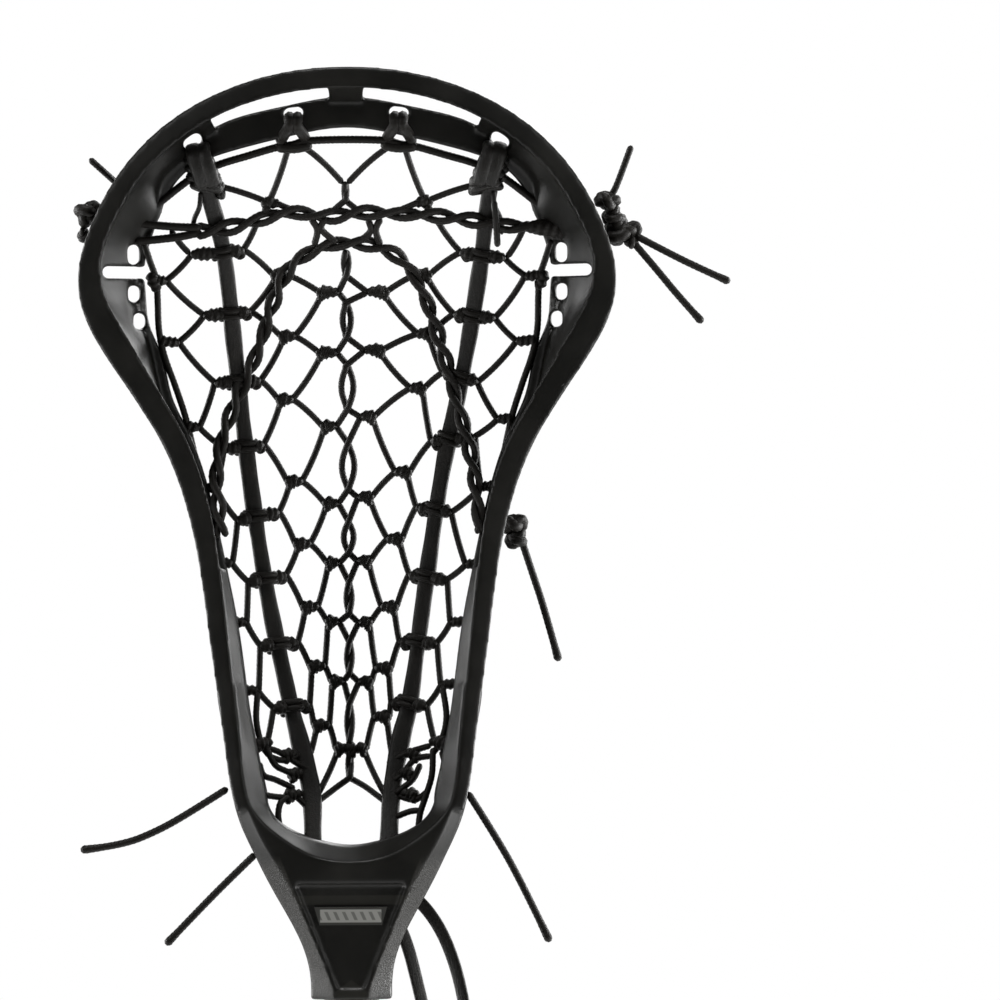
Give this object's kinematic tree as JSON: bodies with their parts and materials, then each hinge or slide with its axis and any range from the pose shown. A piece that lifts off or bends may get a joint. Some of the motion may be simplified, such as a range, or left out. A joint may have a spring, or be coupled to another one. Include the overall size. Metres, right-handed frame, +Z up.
{
  "type": "lacrosse stick",
  "caption": "Field lacrosse stick: open moulded head with a laced leather pocket on an eight-sided shaft with a rubber butt cap.",
  "frame": {"origin": "centre of the shaft tube's lower end, inside the butt cap", "axes": "+Z up the shaft from the butt to the scoop, -Y out of the head's open face, +X to the right of someone who faces the pocket"},
  "size_m": [0.2527, 0.0789, 1.0842],
  "materials": {
    "head_plastic": "moulded black nylon, semi-gloss",
    "badge": "satin plate",
    "screw": "zinc plated",
    "shaft": "satin charcoal with two silver lines",
    "rubber": "matt",
    "leather": "waxed, dark",
    "shooting_cord": "woven nylon",
    "waxed_cord": "waxed nylon cord"
  },
  "bodies": {
    "root": {"corner_lashing_left": "waxed_cord", "corner_lashing_right": "waxed_cord", "end_leather_right": "waxed_cord", "end_low_left_lower": "waxed_cord", "end_low_left_upper": "waxed_cord", "end_low_right": "waxed_cord", "end_mid_right": "waxed_cord", "end_side_right_lower": "waxed_cord", "end_side_right_upper": "waxed_cord", "end_upper_left": "waxed_cord", "end_upper_right": "waxed_cord", "head_frame": "head_plastic", "knot_mid_right": "waxed_cord", "knot_side_right": "waxed_cord", "knot_upper_left": "waxed_cord", "knot_upper_right": "waxed_cord", "lacing_centre": "waxed_cord", "lacing_left": "waxed_cord", "lacing_right": "waxed_cord", "leather_knot_left": "leather", "leather_knot_right": "leather", "leather_left": "leather", "leather_right": "leather", "shaft_tube": "shaft", "shooting_arch": "shooting_cord", "shooting_straight": "shooting_cord", "sidewall_string_left": "waxed_cord", "sidewall_string_right": "waxed_cord", "thong_left": "leather", "thong_right": "leather", "thong_tie": "leather", "throat_badge": "badge", "top_string": "waxed_cord"},
    "butt_cap": {"butt_cap": "rubber"},
    "head_screw": {"head_screw": "screw"}
  },
  "joints": [
    {"name": "butt_cap_slide", "type": "slide", "parent": "root", "child": "butt_cap", "axis": [0, 0, -1], "range_m": [0, 0.034]},
    {"name": "head_screw_slide", "type": "slide", "parent": "root", "child": "head_screw", "axis": [0, 1, 0], "range_m": [0, 0.013]}
  ]
}
